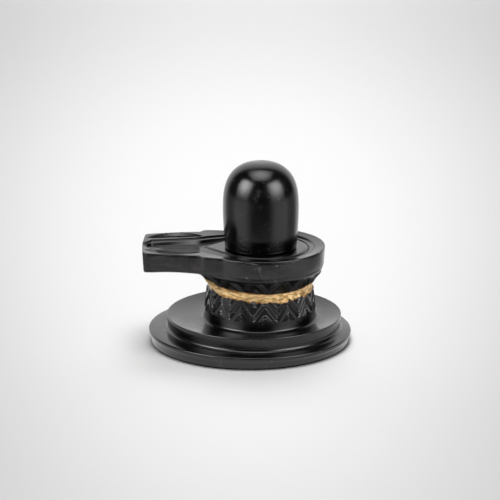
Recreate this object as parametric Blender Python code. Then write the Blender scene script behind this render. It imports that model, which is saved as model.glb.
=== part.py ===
"""A small household shiva lingam, cast in two pieces.

The lingam is a domed shaft that stands in the dish. The yoni base is one
casting: a two-step round plinth, a waisted drum carved with chevrons, and the
dish with its long spout. Lengths are in metres, Z is up, the spout points to
-X, and the origin is the middle of the underside.
"""

import math

import bmesh
import bpy

# Clearance between the two pieces
SEAT_GAP = 0.0003

# Lower disc of the plinth
DISC_RADIUS = 0.0450
DISC_FOOT_RADIUS = 0.04365
DISC_HEIGHT = 0.0056
DISC_LIP = 0.0011
DISC_EDGE = 0.0003
DISC_CROWN = 0.0004
DISC_TOP_LEAN = math.radians(0.7)

# Upper disc of the plinth, set a little towards the back of the spout
TIER_RADIUS = 0.0389
TIER_HEIGHT = 0.0068
TIER_OFFSET = 0.0018
TIER_EDGE = 0.0002
TIER_SCOTIA = 0.0006
TIER_COVE = 0.0016
TIER_TOP_DIP = 0.0019

# Carved drum between the plinth and the dish
DRUM_OFFSET = 0.0045
DRUM_FOOT_RADIUS = 0.0249
DRUM_WAIST_RADIUS = 0.0232
DRUM_HEAD_RADIUS = 0.0279
DRUM_HEIGHT = 0.0231
DRUM_ROUND = 0.0036
DRUM_FILLET = 0.0013
DRUM_LAP = 0.0010
FLARE_EASE = 0.3
WAIST_LEVEL = 0.01385
WAIST_BAND = 0.0021
FIELD_FOOT = 0.0008
FIELD_HEAD = 0.0022

# Chevron carving round the drum
CHEVRONS = 14
CHEVRON_TURN = math.radians(5.1)
CHEVRON_UPPER_TURN = math.radians(2.4)
CHEVRON_RISE = 0.0072
CHEVRON_HEAD = 0.0010
RIDGE_HEIGHT = 0.00035
GROOVE_DEPTH = 0.00030
RIDGE_WIDTH = 0.0006
CARET_DROP = 0.0056
NEST_RISE = 0.0047

# Dish of the yoni
DISH_OFFSET = 0.00475
DISH_RADIUS = 0.0285
DISH_THICKNESS = 0.0081
DISH_LIP = 0.0004
DISH_TAPER = 0.00045
RIM_WIDTH = 0.0044
RIM_FALL = 0.0007
RING_WIDTH = 0.0024
RING_STEP = 0.0006
STEP_RUN = 0.0004
GROOVE_RUN = 0.0004
ISLAND_GROOVE = 0.0006
ISLAND_SQUEEZE = 0.0027
ISLAND_POINT = 0.0253
ISLAND_CROWN = 0.0004
ISLAND_FALL = 0.0030
RING_TURN = math.radians(128)
ISLAND_TURN = math.radians(134)

# Spout of the yoni, with its channel and two leaf-shaped hollows
SPOUT_REACH = 0.0523
SPOUT_LIFT = 0.0006
SPOUT_DIP = 0.0003
SPOUT_NECK = 0.0196
SPOUT_END = 0.0152
SPOUT_CORNER = 0.0020
SPOUT_ARCH = 0.0005
SHOULDER_AT = 0.0205
SHOULDER_LENGTH = 0.0058
SHOULDER_HALF_WIDTH = 0.0229
SHOULDER_ROUND = 0.0020
SPOUT_BLEND_AT = 0.0120
SPOUT_BLEND_LENGTH = 0.0140
RIDGE_AT_NECK = 0.0133
RIDGE_AT_END = 0.0075
CHANNEL_AT_NECK = 0.0092
CHANNEL_MID = 0.0074
CHANNEL_MOUTH = 0.0015
CHANNEL_DEPTH = 0.0018
MOUTH_DEPTH = 0.0010
MOUTH_LENGTH = 0.0040
LEAF_LENGTH = 0.0246
LEAF_WIDTH = 0.0068
LEAF_DEPTH = 0.0012
LEAF_CENTRE = 0.0384
LEAF_AT_NECK = 0.0130
LEAF_AT_END = 0.0098
LEAF_BOW = 0.0026
LEAF_CLEAR = 0.0010

# Domed shaft
LINGAM_OFFSET = 0.0048
LINGAM_RADIUS = 0.01675
LINGAM_FOOT_RADIUS = 0.0159
LINGAM_HEIGHT = 0.0382
LINGAM_DOME = 0.0203
LINGAM_FOOT_EDGE = 0.0002
SEAT_MARGIN = 0.0012

# Facets
COLUMNS_PER_CHEVRON = 6
LINGAM_SEGMENTS = 42
DOME_RINGS = 8
DISH_ARC_STEPS = 19
DISH_SIDE_STEPS = 14
DISH_END_STEPS = 5
LEAF_STEPS = 9

# Heights that follow from the sizes
TIER_TOP = DISC_HEIGHT + TIER_HEIGHT
DRUM_BASE = TIER_TOP - TIER_TOP_DIP
DRUM_TOP = TIER_TOP + DRUM_HEIGHT
WAIST = TIER_TOP + WAIST_LEVEL
DISH_TOP = DRUM_TOP + DISH_THICKNESS
RING_TOP = DISH_TOP - RIM_FALL - RING_STEP
ISLAND_TOP = RING_TOP + ISLAND_CROWN


def clear_scene():
    for item in list(bpy.data.objects):
        bpy.data.objects.remove(item, do_unlink=True)


def make_material(name, color, roughness, metallic=0.0):
    material = bpy.data.materials.new(name)
    material.use_nodes = True
    material.diffuse_color = (*color, 1.0)
    shader = material.node_tree.nodes["Principled BSDF"]
    shader.inputs["Base Color"].default_value = (*color, 1.0)
    shader.inputs["Roughness"].default_value = roughness
    shader.inputs["Metallic"].default_value = metallic
    return material


def mix(a, b, share):
    return a + (b - a) * share


def smooth(share):
    share = min(1.0, max(0.0, share))
    return share * share * (3.0 - 2.0 * share)


def clamp(value, low, high):
    return min(high, max(low, value))


def make_object(name, mesh_data, material, sharp_angle):
    mesh = bpy.data.meshes.new(name)
    mesh_data.to_mesh(mesh)
    mesh_data.free()
    mesh.materials.append(material)
    mesh.shade_smooth()
    mesh.set_sharp_from_angle(angle=sharp_angle)
    item = bpy.data.objects.new(name, mesh)
    bpy.context.collection.objects.link(item)
    return item


class Surface:
    """A closed skin whose equal corners are one vertex."""

    def __init__(self):
        self.bm = bmesh.new()
        self.corners = {}

    def vertex(self, point):
        key = tuple(round(value * 1e7) for value in point)
        if key not in self.corners:
            self.corners[key] = self.bm.verts.new(point)
        return self.corners[key]

    def face(self, points):
        corners = []
        for point in points:
            corner = self.vertex(point)
            if corner not in corners:
                corners.append(corner)
        if len(corners) > 2:
            self.bm.faces.new(corners)

    def band(self, lower, upper, closed=True):
        count = len(lower)
        last = count if closed else count - 1
        for i in range(last):
            j = (i + 1) % count
            self.face((lower[i], lower[j], upper[j], upper[i]))

    def finish(self):
        bmesh.ops.recalc_face_normals(self.bm, faces=self.bm.faces)
        return self.bm


def ring(centre, radius, height, columns, turn=0.0, lean=0.0):
    points = []
    for i in range(columns):
        angle = turn + math.tau * i / columns
        x = centre + radius * math.cos(angle)
        y = radius * math.sin(angle)
        points.append((x, y, height - lean * x))
    return points


def drum_radius(height):
    """Radius of the drum without its carving."""
    spread = DRUM_FOOT_RADIUS - DRUM_WAIST_RADIUS
    if height < WAIST:
        share = (WAIST - height) / (WAIST - DRUM_BASE)
        return DRUM_WAIST_RADIUS + spread * min(share, 1.0)
    flare = DRUM_HEAD_RADIUS - DRUM_WAIST_RADIUS
    start = WAIST + WAIST_BAND / 2
    share = clamp((height - start) / (DRUM_TOP - DRUM_LAP - start), 0.0, 1.0)
    return DRUM_WAIST_RADIUS + flare * mix(share, smooth(share), FLARE_EASE)


def carving_rows():
    """Offsets above the main ridge's crest, with the relief on each."""
    w = RIDGE_WIDTH
    high = RIDGE_HEIGHT
    deep = -GROOVE_DEPTH
    nest = NEST_RISE
    caret = -CARET_DROP
    return [
        (caret - 2.2 * w, 0.0),
        (caret - 1.3 * w, high),
        (caret - 0.6 * w, 0.0),
        (caret, high),
        (caret + 0.8 * w, 0.0),
        (-3.9 * w, 0.0),
        (-2.9 * w, deep),
        (-1.8 * w, high),
        (-0.9 * w, 0.0),
        (0.0, high),
        (1.2 * w, deep),
        (2.1 * w, 0.0),
        (nest - 0.9 * w, 0.0),
        (nest, deep),
        (nest + 0.9 * w, high),
        (nest + 4.4 * w, high),
    ]


def zigzag_share(column):
    """0 at a peak of the zigzag and 1 in the valley between two peaks."""
    place = (column % COLUMNS_PER_CHEVRON) / COLUMNS_PER_CHEVRON
    return 1.0 - abs(2.0 * place - 1.0)


def carved_ring(offset, relief, upper):
    """One line of the carving round the drum, cut off at the field's edges."""
    columns = CHEVRONS * COLUMNS_PER_CHEVRON
    waist_edge = WAIST - WAIST_BAND / 2
    foot_edge = DRUM_BASE + DRUM_ROUND + FIELD_FOOT
    head_edge = DRUM_TOP - FIELD_HEAD
    turn = CHEVRON_TURN - math.pi / 2
    points = []
    for i in range(columns):
        crest = waist_edge - CHEVRON_HEAD - CHEVRON_RISE * zigzag_share(i)
        level = crest + offset
        if upper:
            level = 2 * WAIST - level
            low, high = WAIST + WAIST_BAND / 2, head_edge
        else:
            low, high = foot_edge, waist_edge
        inside = low < level < high
        level = clamp(level, low, high)
        radius = drum_radius(level)
        if inside:
            radius += relief
        angle = turn + math.tau * i / columns
        if upper:
            angle += CHEVRON_UPPER_TURN
        x = DRUM_OFFSET + radius * math.cos(angle)
        points.append((x, radius * math.sin(angle), level))
    return points


def stand_rings():
    """Rings of the plinth and the drum, from the underside to the drum's top."""
    columns = CHEVRONS * COLUMNS_PER_CHEVRON
    turn = CHEVRON_TURN - math.pi / 2
    lean = math.tan(DISC_TOP_LEAN)
    rings = []

    def add(centre, radius, height, lean_share=0.0):
        rings.append(ring(centre, radius, height, columns, turn, lean * lean_share))

    lip_low = DISC_HEIGHT - DISC_EDGE - DISC_LIP
    add(0.0, DISC_FOOT_RADIUS - DISC_EDGE, 0.0)
    add(0.0, DISC_FOOT_RADIUS, DISC_EDGE)
    add(0.0, DISC_RADIUS - 2 * DISC_EDGE, lip_low - DISC_EDGE, 0.8)
    add(0.0, DISC_RADIUS, lip_low, 1.0)
    add(0.0, DISC_RADIUS, DISC_HEIGHT - DISC_EDGE, 1.0)
    add(0.0, DISC_RADIUS - DISC_EDGE, DISC_HEIGHT, 1.0)

    waist_radius = TIER_RADIUS - TIER_SCOTIA
    cove_top = DISC_HEIGHT + DISC_CROWN + TIER_COVE
    for step in range(5):
        angle = math.pi / 2 * step / 4
        radius = waist_radius + TIER_COVE * (1.0 - math.sin(angle))
        height = cove_top - TIER_COVE * math.cos(angle)
        add(TIER_OFFSET, radius, height, 1.0 - step / 4)
    add(TIER_OFFSET, mix(waist_radius, TIER_RADIUS, 0.4), mix(cove_top, TIER_TOP, 0.6))
    add(TIER_OFFSET, TIER_RADIUS, TIER_TOP - TIER_EDGE)
    add(TIER_OFFSET, TIER_RADIUS - TIER_EDGE, TIER_TOP)

    fillet_radius = DRUM_FOOT_RADIUS + DRUM_FILLET
    middle_offset = mix(TIER_OFFSET, DRUM_OFFSET, 0.5)
    middle_radius = mix(TIER_RADIUS, fillet_radius, 0.5)
    add(middle_offset, middle_radius, TIER_TOP - 0.7 * TIER_TOP_DIP)
    for step in range(4):
        angle = math.pi / 2 * step / 3
        radius = fillet_radius - DRUM_FILLET * math.sin(angle)
        add(DRUM_OFFSET, radius, DRUM_BASE + DRUM_FILLET * (1.0 - math.cos(angle)))

    foot_edge = DRUM_BASE + DRUM_ROUND + FIELD_FOOT
    add(DRUM_OFFSET, drum_radius(foot_edge), foot_edge)
    for offset, relief in carving_rows():
        rings.append(carved_ring(offset, relief, False))
    waist_edge = WAIST - WAIST_BAND / 2
    add(DRUM_OFFSET, drum_radius(waist_edge), waist_edge)
    upper_turn = turn + CHEVRON_UPPER_TURN
    waist_top = WAIST + WAIST_BAND / 2
    rings.append(ring(DRUM_OFFSET, drum_radius(waist_top), waist_top, columns, upper_turn))
    for offset, relief in reversed(carving_rows()):
        rings.append(carved_ring(offset, relief, True))
    for height in (DRUM_TOP - FIELD_HEAD, DRUM_TOP - DRUM_LAP, DRUM_TOP + DRUM_LAP):
        radius = drum_radius(height)
        rings.append(ring(DRUM_OFFSET, radius, height, columns, upper_turn))
    return rings


def build_stand():
    rings = stand_rings()
    surface = Surface()
    surface.face(list(reversed(rings[0])))
    for lower, upper in zip(rings, rings[1:]):
        surface.band(lower, upper)
    surface.face(rings[-1])
    return surface.finish()


def sample(points, count):
    """Evenly spaced points along a smooth curve through the given ones."""
    dense = []
    last = len(points) - 1
    for i in range(last):
        before = points[max(i - 1, 0)]
        start = points[i]
        stop = points[i + 1]
        after = points[min(i + 2, last)]
        for k in range(8):
            t = k / 8
            point = []
            for p, a, b, n in zip(before, start, stop, after):
                slope_a = (b - p) / 2
                slope_b = (n - a) / 2
                h00 = 2 * t**3 - 3 * t**2 + 1
                h10 = t**3 - 2 * t**2 + t
                h01 = 3 * t**2 - 2 * t**3
                h11 = t**3 - t**2
                point.append(h00 * a + h10 * slope_a + h01 * b + h11 * slope_b)
            dense.append(tuple(point))
    dense.append(tuple(points[-1]))
    runs = [0.0]
    for a, b in zip(dense, dense[1:]):
        runs.append(runs[-1] + math.dist(a, b))
    result = []
    j = 0
    for i in range(count + 1):
        target = runs[-1] * i / count
        while j < len(dense) - 2 and runs[j + 1] < target:
            j += 1
        share = (target - runs[j]) / (runs[j + 1] - runs[j])
        share = clamp(share, 0.0, 1.0)
        result.append(tuple(mix(a, b, share) for a, b in zip(dense[j], dense[j + 1])))
    return result


def loop_line(radius, leave, side, end):
    """Half an outline: an arc from +X, a side along the spout and its end."""
    line = []
    for i in range(DISH_ARC_STEPS + 1):
        angle = leave * i / DISH_ARC_STEPS
        line.append((radius * math.cos(angle), radius * math.sin(angle)))
    line.extend(sample([line[-1]] + side, DISH_SIDE_STEPS)[1:])
    line.extend(sample([line[-1]] + end, DISH_END_STEPS)[1:])
    return line


def spout_side(neck, mid, end):
    """Half width of a line along the spout, from its neck to its end."""
    start = SHOULDER_AT + SHOULDER_LENGTH
    stop = SPOUT_REACH - 2 * SPOUT_CORNER
    return [
        (-start, neck),
        (-mix(start, stop, 0.35), mix(neck, mid, 0.7)),
        (-mix(start, stop, 0.7), mix(mid, end, 0.4)),
        (-stop, end),
    ]


def outer_line():
    curve = SHOULDER_ROUND
    leave = math.pi - math.acos((SHOULDER_AT - 2 * curve) / DISH_RADIUS)
    shoulder_end = SHOULDER_AT + SHOULDER_LENGTH
    neck = shoulder_end + 0.4 * curve
    stop = SPOUT_REACH - SPOUT_CORNER
    bow = mix(SPOUT_NECK, SPOUT_END, 0.3)
    side = [
        (-SHOULDER_AT, SHOULDER_HALF_WIDTH),
        (-shoulder_end + curve, SHOULDER_HALF_WIDTH - 0.2 * curve),
        (-shoulder_end, SHOULDER_HALF_WIDTH - 0.8 * curve),
        (-neck, SPOUT_NECK + 0.15 * curve),
        (-neck - 1.3 * curve, SPOUT_NECK - 0.05 * curve),
        (-mix(neck, stop, 0.5), bow),
        (-stop, SPOUT_END + 0.5 * SPOUT_CORNER),
    ]
    end = [
        (-stop - 0.65 * SPOUT_CORNER, SPOUT_END - 0.3 * SPOUT_CORNER),
        (-SPOUT_REACH + 0.2 * SPOUT_CORNER, SPOUT_END - 2 * SPOUT_CORNER),
        (-SPOUT_REACH, 1.3 * CHANNEL_MOUTH),
        (-SPOUT_REACH, 0.8 * CHANNEL_MOUTH),
        (-SPOUT_REACH, 0.0),
    ]
    return loop_line(DISH_RADIUS, leave, side, end)


def inner_line(radius, side, mouth_inset, mouth):
    reach = SPOUT_REACH - mouth_inset
    last = side[-1]
    end = [
        (mix(last[0], -reach, 0.6), mix(last[1], mouth, 0.6)),
        (-reach + 0.2 * mouth, 1.15 * mouth),
        (-reach, mouth),
        (-reach, 0.6 * mouth),
        (-reach, 0.0),
    ]
    return loop_line(radius, RING_TURN, side, end)


def inset(line, distance):
    """The outline moved inwards, with its two ends kept on the middle."""
    result = []
    last = len(line) - 1
    for i, (x, y) in enumerate(line):
        before = line[max(i - 1, 0)]
        after = line[min(i + 1, last)]
        dx = after[0] - before[0]
        dy = after[1] - before[1]
        if i in (0, last):
            dx = 0.0
            dy = 1.0 if i == 0 else -1.0
        size = math.hypot(dx, dy)
        result.append((x - distance * dy / size, max(0.0, y + distance * dx / size)))
    return result


def along_spout(x):
    """0 on the round of the dish and 1 along the spout."""
    return smooth((-x - SPOUT_BLEND_AT) / SPOUT_BLEND_LENGTH)


def at_mouth(x, y):
    """1 in the notch where the channel runs out and 0 away from it."""
    near_end = smooth((-x - SPOUT_REACH + MOUTH_LENGTH) / (0.75 * MOUTH_LENGTH))
    return near_end * smooth((1.3 * CHANNEL_MOUTH - y) / (0.5 * CHANNEL_MOUTH))


def raise_line(line, round_level, spout_level, mouth_level):
    points = []
    for x, y in line:
        level = mix(round_level, spout_level, along_spout(x))
        level = mix(level, mouth_level, at_mouth(x, y))
        points.append((x, y, level))
    return points


def underside_level(x):
    """Level of the underside, arched a little along the spout."""
    start = SHOULDER_AT + SHOULDER_LENGTH
    share = clamp((-x - start) / (SPOUT_REACH - start), 0.0, 1.0)
    arch = SPOUT_ARCH * math.sin(math.pi * min(1.0, share * 1.25))
    drop = 0.5 * SPOUT_ARCH * smooth((share - 0.7) / 0.3)
    return DRUM_TOP + arch - drop


def dish_lines():
    """Half outlines of the dish, from its underside over the rim to the seat."""
    outer = outer_line()
    mouth_level = DISH_TOP - MOUTH_DEPTH
    spout_top = DISH_TOP + SPOUT_LIFT
    lines = []
    low = [(x, y, underside_level(x)) for x, y in inset(outer, DISH_TAPER + DISH_LIP)]
    lines.append(low)
    side = inset(outer, DISH_TAPER)
    lines.append([(x, y, underside_level(x) + DISH_LIP) for x, y in side])
    drop = 4 * DISH_LIP
    high = raise_line(inset(outer, DISH_LIP / 4), DISH_TOP - drop, spout_top - drop, mouth_level - drop / 2)
    lines.append(high)
    lip = raise_line(outer, DISH_TOP - DISH_LIP / 2, spout_top - DISH_LIP / 2, mouth_level - DISH_LIP / 2)
    lines.append(lip)
    lines.append(raise_line(inset(outer, DISH_LIP / 2), DISH_TOP, spout_top, mouth_level))

    rim_radius = DISH_RADIUS - RIM_WIDTH
    rim_side = spout_side(RIDGE_AT_NECK, mix(RIDGE_AT_NECK, RIDGE_AT_END, 0.5), RIDGE_AT_END)
    rim = inner_line(rim_radius, rim_side, DISH_LIP, 1.25 * CHANNEL_MOUTH)
    lines.append(raise_line(rim, DISH_TOP - RIM_FALL, spout_top - SPOUT_DIP, mouth_level))

    step_radius = rim_radius - STEP_RUN
    step_side = [(x, y - STEP_RUN) for x, y in rim_side]
    step = inner_line(step_radius, step_side, 2 * DISH_LIP, 1.15 * CHANNEL_MOUTH)
    lines.append(raise_line(step, RING_TOP, spout_top - SPOUT_DIP - RING_STEP, mouth_level))

    ring_radius = rim_radius - RING_WIDTH
    ring_side = spout_side(CHANNEL_AT_NECK, CHANNEL_MID, mix(CHANNEL_MID, CHANNEL_MOUTH, 0.7))
    crest = inner_line(ring_radius, ring_side, 3 * DISH_LIP, CHANNEL_MOUTH)
    lines.append(raise_line(crest, RING_TOP, spout_top - SPOUT_DIP - RING_STEP, mouth_level))

    bed_radius = ring_radius - GROOVE_RUN
    bed_side = [(x, 0.5 * y) for x, y in ring_side]
    bed = inner_line(bed_radius, bed_side, 4 * DISH_LIP, 0.5 * CHANNEL_MOUTH)
    bed_level = RING_TOP - ISLAND_GROOVE
    channel_level = spout_top - SPOUT_DIP - RING_STEP - CHANNEL_DEPTH
    bed = raise_line(bed, bed_level, channel_level + DISH_LIP, mouth_level)
    lines.append(bed)

    lines.append(island_line(bed, channel_level, mouth_level))
    return lines


def island_line(bed, channel_level, mouth_level):
    """Edge of the raised floor round the shaft, then the middle of the channel."""
    edge_radius = DISH_RADIUS - RIM_WIDTH - RING_WIDTH - 2 * GROOVE_RUN
    line = []
    for i in range(DISH_ARC_STEPS + 1):
        angle = ISLAND_TURN * i / DISH_ARC_STEPS
        radius = edge_radius - ISLAND_SQUEEZE * smooth(angle / ISLAND_TURN)
        line.append((radius * math.cos(angle), radius * math.sin(angle), RING_TOP))
    corner = line[-1]
    side = bed[DISH_ARC_STEPS + 1:]
    tip = min(range(len(side)), key=lambda k: abs(side[k][0] + ISLAND_POINT))
    for k, (x, y, level) in enumerate(side):
        if k < tip:
            share = (k + 1) / (tip + 1)
            line.append((mix(corner[0], -ISLAND_POINT, share), mix(corner[1], 0.0, share), RING_TOP))
        elif k == tip:
            line.append((-ISLAND_POINT, 0.0, RING_TOP))
        elif k < DISH_SIDE_STEPS:
            share = smooth((-x - ISLAND_POINT) / ISLAND_FALL)
            height = mix(RING_TOP, channel_level, share)
            fall = smooth((-x - SPOUT_REACH + 3 * MOUTH_LENGTH) / (2.5 * MOUTH_LENGTH))
            line.append((x, 0.0, mix(height, mouth_level, fall)))
        else:
            line.append((-SPOUT_REACH + 5 * DISH_LIP, 0.0, mouth_level))
    return line


def build_dish():
    lines = dish_lines()
    surface = Surface()
    for side in (1.0, -1.0):

        def place(point):
            return (point[0] + DISH_OFFSET, side * point[1], point[2])

        for lower, upper in zip(lines, lines[1:]):
            low = [place(point) for point in lower]
            high = [place(point) for point in upper]
            surface.band(low, high, closed=False)
        underside = [place(point) for point in lines[0]]
        middle = [(x, 0.0, z) for x, _, z in underside]
        surface.band(middle, underside, closed=False)
        island = lines[-1][: DISH_ARC_STEPS + DISH_SIDE_STEPS + 1]
        edge = [place(point) for point in island if point[0] >= -ISLAND_POINT]
        seat_radius = LINGAM_RADIUS + SEAT_MARGIN / 2
        seat = []
        for i in range(len(edge)):
            angle = math.pi * i / (len(edge) - 1)
            y = seat_radius * math.sin(angle)
            seat.append((seat_radius * math.cos(angle) + DISH_OFFSET, side * max(y, 0.0), ISLAND_TOP))
        seat[-1] = (seat[-1][0], 0.0, ISLAND_TOP)
        surface.band(edge, seat, closed=False)
        floor = [(x, 0.0, z) for x, _, z in seat]
        surface.band(seat, floor, closed=False)
    return surface.finish()


def build_leaf(side):
    """Boat-shaped cutter for the hollow in one wall of the spout."""
    surface = Surface()
    top = DISH_TOP + SPOUT_LIFT
    start = LEAF_CENTRE - LEAF_LENGTH / 2
    rows = []
    for i in range(LEAF_STEPS + 1):
        share = i / LEAF_STEPS
        x = -(start + LEAF_LENGTH * share)
        swell = math.sin(math.pi * share) ** 0.7
        half = LEAF_WIDTH / 2 * swell
        middle = mix(LEAF_AT_NECK, LEAF_AT_END, share) + LEAF_BOW * math.sin(math.pi * share)
        depth = LEAF_DEPTH * swell
        row = []
        for across, down in ((-1.0, -1.0), (-0.8, 0.6), (0.0, 1.0), (0.8, 0.6), (1.0, -1.0)):
            level = top - depth * down if down > 0 else top + LEAF_CLEAR
            row.append((x + DISH_OFFSET, side * (middle + half * across), level))
        rows.append(row)
    for lower, upper in zip(rows, rows[1:]):
        surface.band(lower, upper)
    return surface.finish()


def build_lingam():
    """Shaft that swells upwards a little and ends in a blunt dome."""
    foot = ISLAND_TOP + SEAT_GAP
    top = foot + LINGAM_HEIGHT
    spring = top - LINGAM_DOME
    profile = [(LINGAM_FOOT_RADIUS - LINGAM_FOOT_EDGE, foot)]
    for step in range(5):
        share = step / 4
        start = foot + LINGAM_FOOT_EDGE
        radius = mix(LINGAM_FOOT_RADIUS, LINGAM_RADIUS, math.sin(math.pi / 2 * share))
        profile.append((radius, mix(start, spring, share)))
    for step in range(1, DOME_RINGS):
        angle = math.pi / 2 * step / DOME_RINGS
        radius = LINGAM_RADIUS * math.cos(angle) ** 0.786
        profile.append((radius, spring + LINGAM_DOME * math.sin(angle) ** 0.762))
    surface = Surface()
    rings = [ring(LINGAM_OFFSET, r, z, LINGAM_SEGMENTS) for r, z in profile]
    surface.face(list(reversed(rings[0])))
    for lower, upper in zip(rings, rings[1:]):
        surface.band(lower, upper)
    tip = [(LINGAM_OFFSET, 0.0, top)] * LINGAM_SEGMENTS
    surface.band(rings[-1], tip)
    return surface.finish()


def add_boolean(item, tool, operation):
    modifier = item.modifiers.new(tool.name, "BOOLEAN")
    modifier.operation = operation
    modifier.solver = "EXACT"
    modifier.object = tool
    tool.hide_render = True
    tool.display_type = "WIRE"


def main():
    clear_scene()
    black = make_material("black_cast_stone", (0.018, 0.018, 0.019), 0.32)
    shaft_black = make_material("black_cast_stone_shaft", (0.016, 0.016, 0.017), 0.28)
    sharp = math.radians(32)
    base = make_object("yoni_base", build_stand(), black, sharp)
    dish = make_object("dish_blank", build_dish(), black, sharp)
    add_boolean(base, dish, "UNION")
    for name, side in (("leaf_cutter_left", 1.0), ("leaf_cutter_right", -1.0)):
        leaf = make_object(name, build_leaf(side), black, sharp)
        add_boolean(base, leaf, "DIFFERENCE")
    make_object("lingam", build_lingam(), shaft_black, sharp)


main()
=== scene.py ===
"""Studio scene of a small household shiva lingam with a finely carved skin.

Lengths are in metres. The spout points to -X and the camera stands on the
-Y side. Angles round the drum are counted in degrees from the camera's side,
positive towards +X.
"""

import math

import bmesh
import bpy
import numpy as np
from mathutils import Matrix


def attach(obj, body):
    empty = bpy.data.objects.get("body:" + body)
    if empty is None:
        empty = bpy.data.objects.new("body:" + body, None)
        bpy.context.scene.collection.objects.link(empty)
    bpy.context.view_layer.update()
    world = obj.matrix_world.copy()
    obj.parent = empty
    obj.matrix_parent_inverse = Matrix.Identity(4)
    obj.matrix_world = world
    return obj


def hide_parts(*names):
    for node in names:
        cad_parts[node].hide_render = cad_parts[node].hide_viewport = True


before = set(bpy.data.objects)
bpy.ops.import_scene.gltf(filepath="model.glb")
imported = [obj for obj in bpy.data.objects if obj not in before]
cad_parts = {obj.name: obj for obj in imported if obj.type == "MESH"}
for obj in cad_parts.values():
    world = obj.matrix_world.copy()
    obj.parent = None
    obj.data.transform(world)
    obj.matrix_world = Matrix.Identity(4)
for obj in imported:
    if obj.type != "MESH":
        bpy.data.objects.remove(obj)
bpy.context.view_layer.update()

# Plinth
DISC_RADIUS = 0.0450
DISC_FOOT_RADIUS = 0.04365
DISC_HEIGHT = 0.0056
DISC_TOP_LEAN = math.radians(0.7)
TIER_RADIUS = 0.0389
TIER_HEIGHT = 0.0068
TIER_OFFSET = 0.0018
TIER_SCOTIA = 0.0006
TIER_COVE = 0.0016
TIER_TOP_DIP = 0.0019
DISC_CROWN = 0.0004
FOOT_INSET = 0.0006
FOOT_SPREAD = 0.0003
FOOT_RISE = 0.0012
FOOT_EASE = 0.0004
FLANK_TOP = 0.0032
FLANK_EASE = 0.0008
LIP_FOOT = 0.0042
LIP_EASE = 0.0005
TIER_EASE = 0.00035
DIP_EASE = 0.0006

# Drum
DRUM_OFFSET = 0.0045
DRUM_FOOT_RADIUS = 0.0249
DRUM_WAIST_RADIUS = 0.0232
DRUM_HEAD_RADIUS = 0.0279
DRUM_HEIGHT = 0.0231
DRUM_ROUND = 0.0036
DRUM_FILLET = 0.0013
DRUM_LAP = 0.0010
FLARE_EASE = 0.3
WAIST_LEVEL = 0.01385
WAIST_BAND = 0.0021
FIELD_FOOT = 0.0008
FIELD_HEAD = 0.0022

# Chevron carving
CHEVRONS = 14
CHEVRON_TURN = 5.1
CHEVRON_UPPER_TURN = 2.4
CHEVRON_RISE = 0.0072
CHEVRON_HEAD = 0.0010
RIDGE_HEIGHT = 0.00046
GROOVE_DEPTH = 0.00046
RIDGE_WIDTH = 0.0006
CARET_DROP = 0.0056
CHEVRON_BLUNT = 0.05
BLUNT_WIDTH = 0.10
FIELD_EDGE = 0.0004
NEST_RISE = 0.0047
UPPER_RELIEF = 1.7

# Gold paint on the waist: angle round the drum and height of each edge
GOLD_HIGH = [
    (-90, 0.0306), (-62, 0.0306), (-45, 0.0293), (-20, 0.0284),
    (6, 0.0275), (36, 0.0275), (56, 0.0281), (90, 0.0288),
]
GOLD_LOW = [
    (-90, 0.0262), (-65, 0.0258), (-47, 0.0246), (-31, 0.0247), (-15, 0.0239),
    (9, 0.0237), (21, 0.0232), (50, 0.0237), (90, 0.0242),
]
GOLD_UNIT = 0.0005
GOLD_DARK = (0.42, 0.235, 0.07)
GOLD_PALE = (0.95, 0.68, 0.33)
GOLD_EDGE = (0.34, 0.13, 0.02)
GOLD_EDGE_WIDTH = 1.2
GOLD_ROUGHNESS = 0.20
GOLD_METAL = 0.55
GOLD_LUMP = 5.0
STROKE_SCALE = 620.0
STROKE_STRETCH = (0.5, 0.5, 2.0)
RAGGED_SCALE = 1100.0
RAGGED_SWING = 3.4
DRIP_SCALE = 420.0
DRIP_SWING = 7.0
SWING_MIDDLE = 5.4
HIGH_SWING = 1.6

# Dish and spout
DISH_OFFSET = 0.00475
DISH_RADIUS = 0.0285
DISH_THICKNESS = 0.0081
DISH_LIP = 0.0004
DISH_TAPER = 0.00045
RIM_WIDTH = 0.0044
RIM_FALL = 0.0007
RING_WIDTH = 0.0024
RING_STEP = 0.0006
STEP_RUN = 0.0004
GROOVE_RUN = 0.0004
ISLAND_GROOVE = 0.0006
ISLAND_SQUEEZE = 0.0027
ISLAND_POINT = 0.0253
ISLAND_CROWN = 0.0004
ISLAND_FALL = 0.0030
RING_TURN = math.radians(128)
ISLAND_TURN = math.radians(134)
SEAT_INSET = 0.0010
SPOUT_REACH = 0.0523
SPOUT_LIFT = 0.0006
SPOUT_DIP = 0.0003
SPOUT_NECK = 0.0196
SPOUT_END = 0.0152
SPOUT_CORNER = 0.0020
SPOUT_ARCH = 0.0005
SPOUT_BLEND_AT = 0.0120
SPOUT_BLEND_LENGTH = 0.0140
SHOULDER_AT = 0.0205
SHOULDER_LENGTH = 0.0058
SHOULDER_HALF_WIDTH = 0.0229
SHOULDER_ROUND = 0.0020
RIDGE_FAR = (0.0118, 0.0087, 0.0072)
RIDGE_NEAR = (0.0133, 0.0124, 0.0084)
CHANNEL_FAR = (0.0084, 0.0064, 0.0040)
CHANNEL_NEAR = (0.0112, 0.0114, 0.0062)
BED_SHARE = 0.82
CHANNEL_MOUTH = 0.0015
CHANNEL_DEPTH = 0.0018
MOUTH_DEPTH = 0.0010
MOUTH_LENGTH = 0.0040
LEAF_LENGTH = 0.0246
LEAF_WIDTH = 0.0068
LEAF_DEPTH = 0.0013
LEAF_CENTRE = 0.0384
LEAF_AT_NECK = 0.0130
LEAF_AT_END = 0.0098
LEAF_BOW = 0.0026
LEAF_SWELL = 0.7
LEAF_SINK = 0.6
LEAF_TIP = 0.02
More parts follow.
